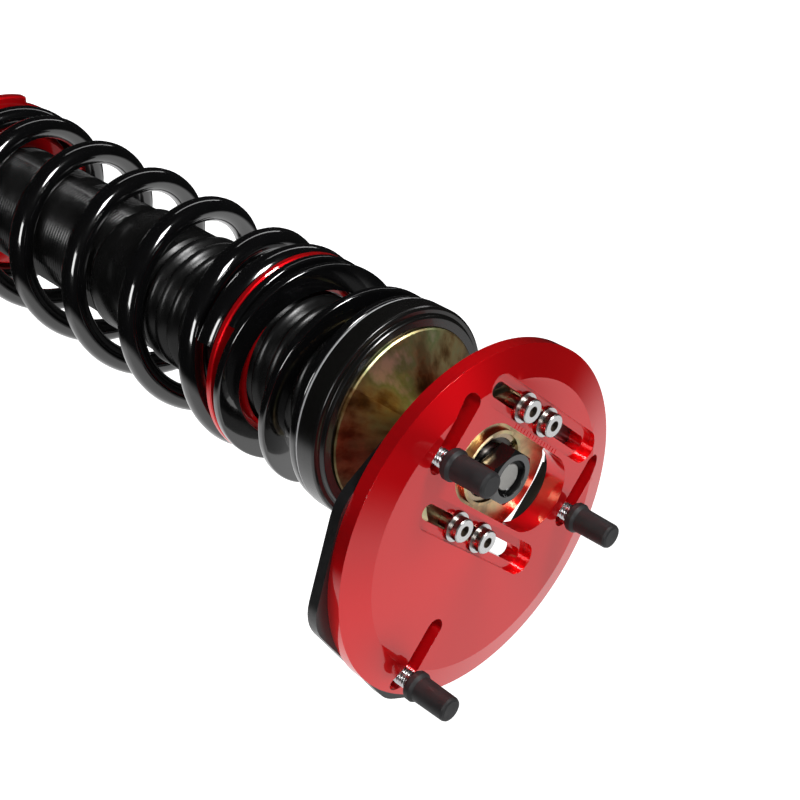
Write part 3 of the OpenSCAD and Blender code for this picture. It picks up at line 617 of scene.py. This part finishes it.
def threaded(centre, profile, pitch, depth, thread_low, thread_high, sides, rows_per_pitch):
    """Points and faces of a turned solid with a right-hand thread, closed at both ends.

    profile gives (radius, height) pairs from the bottom up. Between thread_low and thread_high
    rows are added, and the radius dips by depth between crests."""
    rows = [pair for pair in profile if pair[1] < thread_low]
    radius = next(r for r, z in profile if z >= thread_low)
    length = thread_high - thread_low
    count = int(length / pitch * rows_per_pitch)
    start = len(rows)
    rows += [(radius, thread_low + length * k / count) for k in range(count + 1)]
    rows += [pair for pair in profile if pair[1] > thread_high]

    def dip(z, i, slope=1.5, crest=0.25):
        """Depth of the groove, which has sloped sides and flats at its crest and its root."""
        phase = ((z - thread_low) / pitch - i / sides) % 1
        return min(1, max(0, slope * abs(2 * phase - 1) - crest)) * depth

    points = []
    for j, (r, z) in enumerate(rows):
        if start < j < start + count:
            r = [r - dip(z, i) for i in range(sides)]
        points += ring(centre, r, z, sides)
    faces = grid_faces(len(rows), sides)
    faces.append(tuple(range(sides - 1, -1, -1)))
    faces.append(tuple(range((len(rows) - 1) * sides, len(rows) * sides)))
    return points, faces


def split_solids(node, count, border=0.28):
    """Lists of the points of a node's solids, parted by their angle about the frame's origin.

    border turns the sectors by a share of one, so that no solid lies across two of them."""
    groups = {}
    for v in nodes[node].data.vertices:
        degrees = math.degrees(math.atan2(v.co.y, v.co.x))
        groups.setdefault(round(degrees / (360 / count) - border) % count, []).append(v.co)
    return [groups[k] for k in sorted(groups)]


def add_studs(look):
    """M8 studs with their thread, pressed into the stud plate."""
    plate_low, plate_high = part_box("stud_plate")
    crest, pitch, depth, head_r, knurl_r = 3.75 * MM, 1.25 * MM, 0.6 * MM, 6 * MM, 4.2 * MM
    points, faces = [], []
    for solid in split_solids("tower_studs", 3):
        xs, ys, zs = zip(*solid)
        centre = Vector(((min(xs) + max(xs)) / 2, (min(ys) + max(ys)) / 2, 0))
        low, top = min(zs), max(zs)
        thread = plate_high.z + 0.5 * MM, top - 1 * MM
        profile = [
            (HUB, low), (head_r - 0.3 * MM, low), (head_r, low + 0.3 * MM),
            (head_r, plate_low.z - 0.01 * MM), (knurl_r, plate_low.z), (knurl_r, plate_high.z),
            (crest, thread[0]), (crest, thread[1]), (crest - 1 * MM, top), (HUB, top),
        ]
        made, joined = threaded(centre, profile, pitch, depth, *thread, 40, 6)
        faces += moved(joined, len(points))
        points += made
    piece("threaded_studs", points, faces, look, "tower", "zinc_bright", "tower_studs")


def add_body(look):
    """The damper body with its thread, open at the top, with the bore's wall and floor inside."""
    low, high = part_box("shock_body")
    outer, bore, floor_z = 29 * MM, 25 * MM, low.z + 8 * MM
    pitch, depth, sides = 2 * MM, 0.8 * MM, 72
    thread = low.z + 3 * MM, high.z - 1 * MM
    profile = [
        (HUB, low.z), (outer - 3 * MM, low.z), (outer - 0.9 * MM, low.z + 2.1 * MM),
        (outer, thread[0]), (outer, thread[1]), (outer - 1 * MM, high.z),
    ]
    points, faces = threaded(STRUT, profile, pitch, depth, *thread, sides, 4)
    faces.pop()
    rim = len(points) - sides
    for r, z in ((bore, high.z), (bore, floor_z), (HUB, floor_z)):
        points += ring(STRUT, r, z, sides)
    faces += moved(grid_faces(4, sides), rim)
    faces.append(tuple(range(len(points) - sides, len(points))))
    piece("threaded_body", points, faces, look, "damper", "body_steel", "shock_body")


def soften(width, name, segments=6, rounded=32, parted=15.2):
    """Breaks the sharp edges of a CAD node with a small round, and keeps its flat faces flat.

    Edges of more than rounded degrees are broken. The shading parts at more than parted degrees,
    just over what one segment of a right-angled edge turns by."""
    stack = nodes[name].modifiers
    stack.new("weld", "WELD").merge_threshold = 0.001 * MM
    edge = stack.new("edge", "BEVEL")
    edge.width = width
    edge.segments = segments
    edge.limit_method = "ANGLE"
    edge.angle_limit = math.radians(rounded)
    stack.new("split", "EDGE_SPLIT").split_angle = math.radians(parted)
    shade = stack.new("shade", "WEIGHTED_NORMAL")
    shade.mode = "FACE_AREA_WITH_ANGLE"
    shade.weight = 100


# ---------------------------------------------------------------- stage and light

AIM = STRUT + Vector((0, 0, -90 * MM))
TOP_TOWARD = seen(0.0, 0.85, 0.5).normalized()  # the way from the part to the tabletop's middle
TOP_EDGE = 0.32, 0.52  # cosines from that way between which the tabletop's edge fades in
FLOOR_DROP, FLOOR_HALF = 0.5 * MM, 4.0
LAMP_DISTANCE = 1.3
LAMPS = (  # name, direction as the camera sees it, size, watts
    ("key", (0.62, -0.45, -0.65), (0.3, 0.4), 13.5),
    ("front", (-0.16, 0.16, -0.95), (0.42, 0.42), 5),
    ("top", (0.05, -0.9, 0.35), (1.2, 0.8), 6.5),
)


def tabletop(tree, direction, dark, bright):
    """How bright a gloss sees the room by direction: the photographed part lay on a white top."""
    share = tree.vector("DOT_PRODUCT", direction, tuple(TOP_TOWARD), "Value")
    return tree.span(share, *TOP_EDGE, dark, bright, interpolation_type="SMOOTHSTEP")


def floor_shader(tree):
    """White to the camera with the shadow kept, the tabletop to gloss, and plain to other light."""
    plain = tree.node("BsdfDiffuse", 0, {0: (0.8, 0.8, 0.8)})
    away = tree.vector("SUBTRACT", tree.node("TexCoord", "Object"), tuple(AIM))
    top = tabletop(tree, tree.vector("NORMALIZE", away), dark=0.01, bright=0.95)
    gloss, glow = (tree.node("Emission", 0, {"Strength": s}) for s in (top, 0.9))
    white = tree.node("AddShader", 0, {0: plain, 1: glow})
    return tree.by_ray(plain, gloss, white)


def world_shader(tree):
    """White to the camera, the tabletop to gloss, and a soft fill to other light."""
    top = tabletop(tree, tree.node("TexCoord", "Generated"), dark=0.012, bright=1.0)
    soft, gloss, white = (tree.node("Background", 0, {"Strength": s}) for s in (0.35, top, 1.0))
    return tree.by_ray(soft, gloss, white)


def add_floor():
    half, z = FLOOR_HALF, cad_low.z - FLOOR_DROP
    corners = [(-half, -half, z), (half, -half, z), (half, half, z), (-half, half, z)]
    mesh = bpy.data.meshes.new("floor")
    mesh.from_pydata(corners, [], [(0, 1, 2, 3)])
    floor = bpy.data.objects.new("floor", mesh)
    bpy.context.scene.collection.objects.link(floor)
    material = bpy.data.materials.new("floor")
    Tree(material).restart("OutputMaterial", floor_shader)
    mesh.materials.append(material)


def add_world():
    world = bpy.data.worlds.new("world")
    bpy.context.scene.world = world
    Tree(world).restart("OutputWorld", world_shader)


def add_lamp(name, direction, size, watts):
    """A softbox, turned to face the part."""
    data = bpy.data.lights.new(name, "AREA")
    data.shape = "RECTANGLE"
    data.size, data.size_y = size
    data.energy = watts
    lamp = bpy.data.objects.new(name, data)
    away = seen(*direction).normalized()
    lamp.location = AIM + away * LAMP_DISTANCE
    lamp.rotation_mode = "QUATERNION"
    lamp.rotation_quaternion = away.to_track_quat("Z", "Y")
    bpy.context.scene.collection.objects.link(lamp)


# ---------------------------------------------------------------- the part

add_camera()
add_floor()
add_world()
for lamp in LAMPS:
    add_lamp(*lamp)

red_plate = anodised_red("anodised_plate", PLATE)
red_turned = anodised_red("anodised_turned", STRUT)
# the dish has painted shade on one side; the carrier has none and is mixed paler all over
dish_gold = gold_zinc("gold_zinc", STRUT, shade=0.3, pale=0.0)
carrier_gold = gold_zinc("carrier_zinc", STRUT, shade=1.0, pale=0.35)
zinc = grainy("bright_zinc", (0.60, 0.60, 0.61), (0.78, 0.78, 0.79), rough=(0.2, 0.32),
              grain=(900, 3), tint=(160, 3), bump=(0.02 * MM, 0.2), Metallic=1.0)
# painted shade: the race and ball are coloured far darker than bare steel, for the shade in the bore
bearing_steel = grainy("bearing_steel", (0.06, 0.055, 0.05), (0.13, 0.12, 0.11),
                       rough=(0.2, 0.36), grain=(200, 3), Metallic=1.0)
rod_end = grainy("rod_end_steel", (0.42, 0.41, 0.39), (0.66, 0.65, 0.62), rough=(0.32, 0.5),
                 grain=(700, 4), bump=(0.06 * MM, 0.4), Metallic=1.0)
satin_black = grainy("satin_black", (0.006, 0.006, 0.006), (0.011, 0.011, 0.012),
                     rough=(0.3, 0.42), grain=(500, 3), tint=(60, 3), bump=(0.04 * MM, 0.25),
                     Coat_Weight=0.25, Coat_Roughness=0.18)
nut_black = grainy("nut_black", (0.004, 0.004, 0.004), (0.008, 0.008, 0.008),
                   rough=(0.12, 0.22), grain=(600, 3), tint=(80, 3), bump=(0.03 * MM, 0.2),
                   IOR=2.0)
spring_black = grainy("spring_black", (0.002, 0.002, 0.0022), (0.0032, 0.0032, 0.00352),
                      rough=(0.1, 0.17), grain=(70, 2), tint=(140, 3), bump=(0.25 * MM, 0.3),
                      Coat_Weight=1.0, Coat_Roughness=0.04, Coat_IOR=1.65)
boot_black = grainy("boot_rubber", (0.004, 0.004, 0.004), (0.008, 0.008, 0.008),
                    rough=(0.2, 0.3), grain=(120, 3), bump=(0.1 * MM, 0.2),
                    Specular_IOR_Level=0.34)
body_black = grainy("thread_steel", (0.004, 0.004, 0.004), (0.008, 0.008, 0.008),
                    rough=(0.16, 0.26), grain=(90, 2), IOR=1.55)
ring_steel = grainy("ring_steel", (0.42, 0.32, 0.2), (0.72, 0.58, 0.42), rough=(0.25, 0.4),
                    grain=(600, 3), Metallic=1.0)
coated_steel = grainy("coated_steel", (0.42, 0.43, 0.45), (0.5, 0.51, 0.53),
                      rough=(0.34, 0.46), grain=(420, 2), tint=(30, 3), bump=(0.1 * MM, 0.35),
                      Metallic=0.3, Coat_Weight=0.3, Coat_Roughness=0.2)

dress(red_plate, "camber_plate")
dress(red_turned, "divider_ring", "lower_spring_seat", "seat_lock_ring", "bracket_lock_ring")
dress(dish_gold, "upper_spring_seat")
dress(carrier_gold, "bearing_carrier")
dress(zinc, "tower_studs", "piston_nut")
dress(screw_zinc(*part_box("camber_screws")), "camber_screws", "lock_washers", "flat_washers")
dress(ground_steel(), "rod_spacer", "thrust_upper_race", "thrust_balls", "thrust_lower_race",
      "piston", "floating_piston")
dress(bearing_steel, "bearing_race", "bearing_ball")
dress(rod_end, "piston_rod")
dress(satin_black, "stud_plate", "brake_line_tab", "gland_nut", "rebound_stop")
dress(nut_black, "top_nut")
dress(turned_black("seat_black", STRUT, *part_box("seat_ring")), "seat_ring")
dress(spring_black, "main_spring", "helper_spring")
dress(cap_rubber(), "stud_caps", "rod_seal")
dress(boot_black, "dust_boot")
dress(foam(), "bump_stop")
dress(body_black, "shock_body")
dress(ring_steel, "retaining_ring")
dress(coated_steel, "knuckle_bracket")
dress(woven(), "bearing_liner")

add_main_spring(spring_black)
add_helper_spring(spring_black)
add_boot(boot_black)
add_studs(zinc)
add_body(body_black)
add_lower_seat(red_turned)
add_divider(red_turned)
soften(0.4 * MM, "camber_plate")
soften(0.2 * MM, "stud_plate")
soften(0.3 * MM, "seat_ring")
